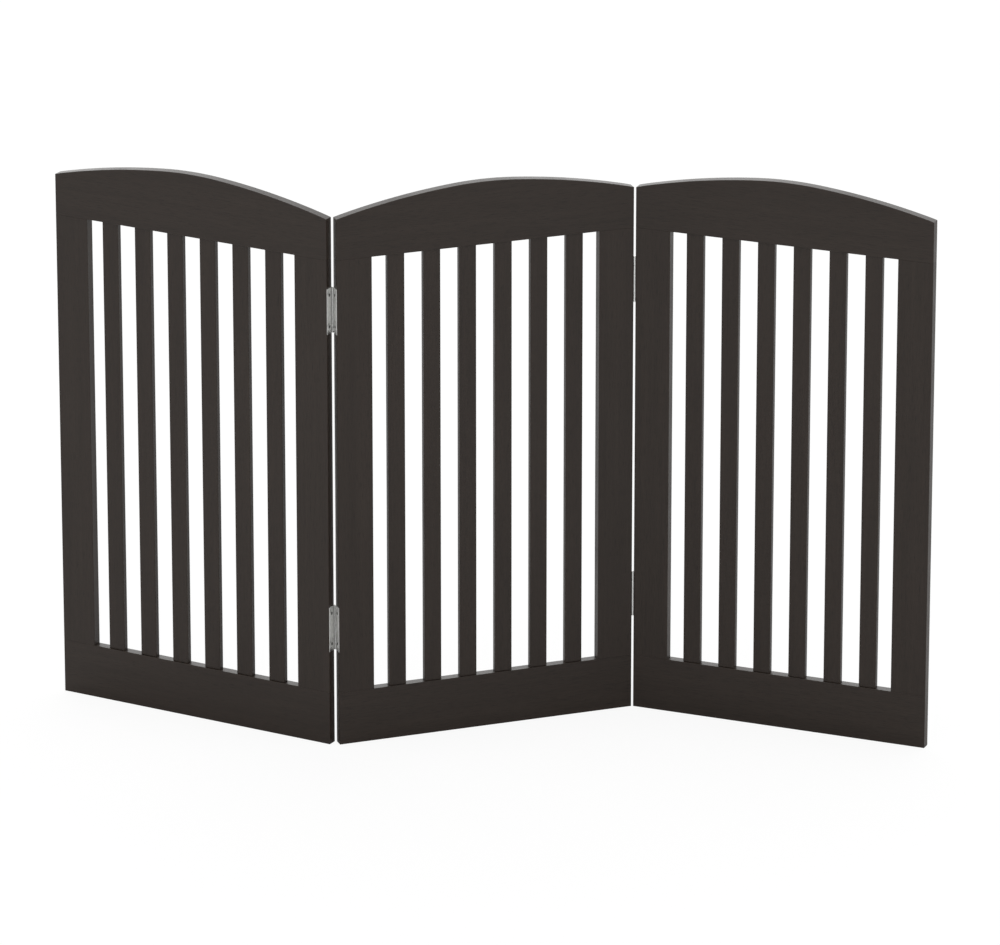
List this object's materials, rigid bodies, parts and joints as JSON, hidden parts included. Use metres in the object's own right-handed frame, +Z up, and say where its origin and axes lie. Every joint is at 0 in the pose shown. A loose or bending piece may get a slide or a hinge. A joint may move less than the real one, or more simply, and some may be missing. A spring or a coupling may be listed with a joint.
{
  "type": "folding pet gate",
  "caption": "Free-standing wooden pet gate: arched slatted panels joined edge to edge by steel butt hinges, standing as a zigzag and folding flat.",
  "frame": {"origin": "on the floor, at the middle of the standing gate's footprint", "axes": "+X along the run of the gate towards the right panel, +Y to the back (the front faces look to -Y), +Z up"},
  "size_m": [1.3886, 0.2714, 0.9144],
  "materials": {
    "espresso_wood": "satin espresso lacquer over smooth wood",
    "hinge_steel": "bright zinc plated, satin",
    "screw_steel": "zinc plated",
    "pin_steel": "bright drawn steel"
  },
  "bodies": {
    "middle_panel": {"left_lower_hinge_middle_leaf": "hinge_steel", "left_lower_hinge_middle_screw_lower": "screw_steel", "left_lower_hinge_middle_screw_upper": "screw_steel", "left_lower_hinge_pin": "pin_steel", "left_upper_hinge_middle_leaf": "hinge_steel", "left_upper_hinge_middle_screw_lower": "screw_steel", "left_upper_hinge_middle_screw_upper": "screw_steel", "left_upper_hinge_pin": "pin_steel", "middle_panel_bottom_rail": "espresso_wood", "middle_panel_left_stile": "espresso_wood", "middle_panel_right_stile": "espresso_wood", "middle_panel_slat_1": "espresso_wood", "middle_panel_slat_2": "espresso_wood", "middle_panel_slat_3": "espresso_wood", "middle_panel_slat_4": "espresso_wood", "middle_panel_slat_5": "espresso_wood", "middle_panel_slat_6": "espresso_wood", "middle_panel_top_rail": "espresso_wood", "right_lower_hinge_middle_leaf": "hinge_steel", "right_lower_hinge_middle_screw_lower": "screw_steel", "right_lower_hinge_middle_screw_upper": "screw_steel", "right_lower_hinge_pin": "pin_steel", "right_upper_hinge_middle_leaf": "hinge_steel", "right_upper_hinge_middle_screw_lower": "screw_steel", "right_upper_hinge_middle_screw_upper": "screw_steel", "right_upper_hinge_pin": "pin_steel"},
    "left_panel": {"left_lower_hinge_side_leaf": "hinge_steel", "left_lower_hinge_side_screw_lower": "screw_steel", "left_lower_hinge_side_screw_upper": "screw_steel", "left_panel_bottom_rail": "espresso_wood", "left_panel_left_stile": "espresso_wood", "left_panel_right_stile": "espresso_wood", "left_panel_slat_1": "espresso_wood", "left_panel_slat_2": "espresso_wood", "left_panel_slat_3": "espresso_wood", "left_panel_slat_4": "espresso_wood", "left_panel_slat_5": "espresso_wood", "left_panel_slat_6": "espresso_wood", "left_panel_top_rail": "espresso_wood", "left_upper_hinge_side_leaf": "hinge_steel", "left_upper_hinge_side_screw_lower": "screw_steel", "left_upper_hinge_side_screw_upper": "screw_steel"},
    "right_panel": {"right_lower_hinge_side_leaf": "hinge_steel", "right_lower_hinge_side_screw_lower": "screw_steel", "right_lower_hinge_side_screw_upper": "screw_steel", "right_panel_bottom_rail": "espresso_wood", "right_panel_left_stile": "espresso_wood", "right_panel_right_stile": "espresso_wood", "right_panel_slat_1": "espresso_wood", "right_panel_slat_2": "espresso_wood", "right_panel_slat_3": "espresso_wood", "right_panel_slat_4": "espresso_wood", "right_panel_slat_5": "espresso_wood", "right_panel_slat_6": "espresso_wood", "right_panel_top_rail": "espresso_wood", "right_upper_hinge_side_leaf": "hinge_steel", "right_upper_hinge_side_screw_lower": "screw_steel", "right_upper_hinge_side_screw_upper": "screw_steel"}
  },
  "joints": [
    {"name": "left_fold", "type": "hinge", "parent": "middle_panel", "child": "left_panel", "pos_m": [-0.24985, -0.10446, 0.4572], "axis": [0, 0, -1], "range_deg": [-49.2, 130.8]},
    {"name": "right_fold", "type": "hinge", "parent": "middle_panel", "child": "right_panel", "pos_m": [0.22577, 0.05029, 0.4572], "axis": [0, 0, -1], "range_deg": [-42.3, 137.7]}
  ]
}
